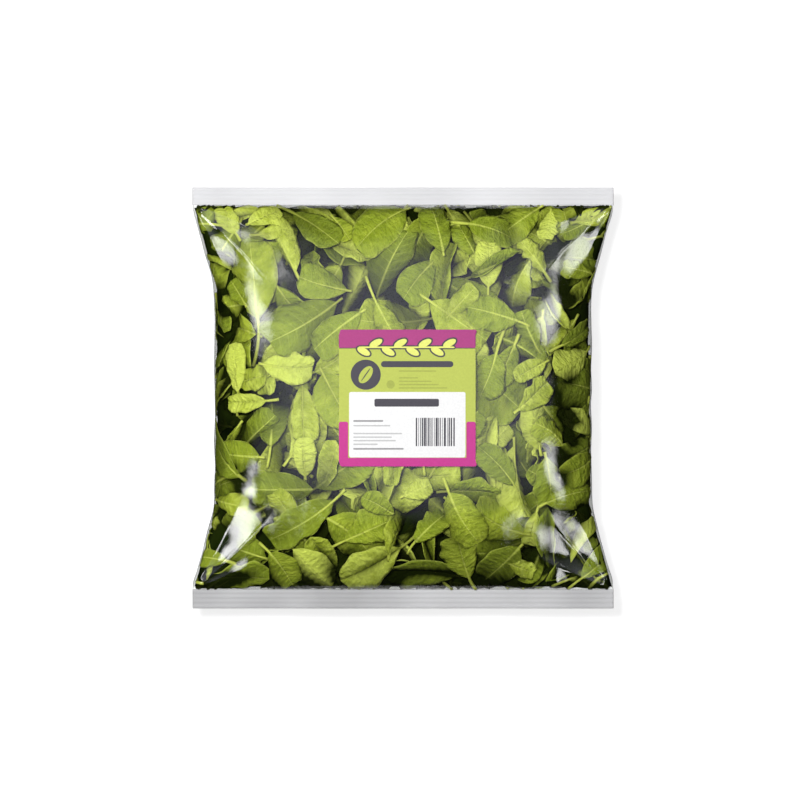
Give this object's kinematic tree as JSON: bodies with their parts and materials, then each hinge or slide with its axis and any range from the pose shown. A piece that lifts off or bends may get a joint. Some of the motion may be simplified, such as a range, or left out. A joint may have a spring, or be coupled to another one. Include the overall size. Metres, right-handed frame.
{
  "type": "bag of spinach",
  "caption": "Clear sealed pillow bag packed with loose spinach leaves, with a flat welded strip at each end and a square paper label on its front, lying on its back.",
  "frame": {"origin": "under the middle of the bag, on the surface it lies on", "axes": "+Z out of the front with the label, +Y towards the top welded strip, +X to the label's right"},
  "size_m": [0.27, 0.27, 0.0688],
  "materials": {
    "film": "clear glossy film over packed green leaves, frosted at the welded strips",
    "leaves": "fresh spinach leaves with paler veins and stalks",
    "label": "smooth printed paper in lime, magenta, white and dark grey"
  },
  "bodies": {
    "root": {"pouch": "film", "label": "label"}
  },
  "joints": []
}
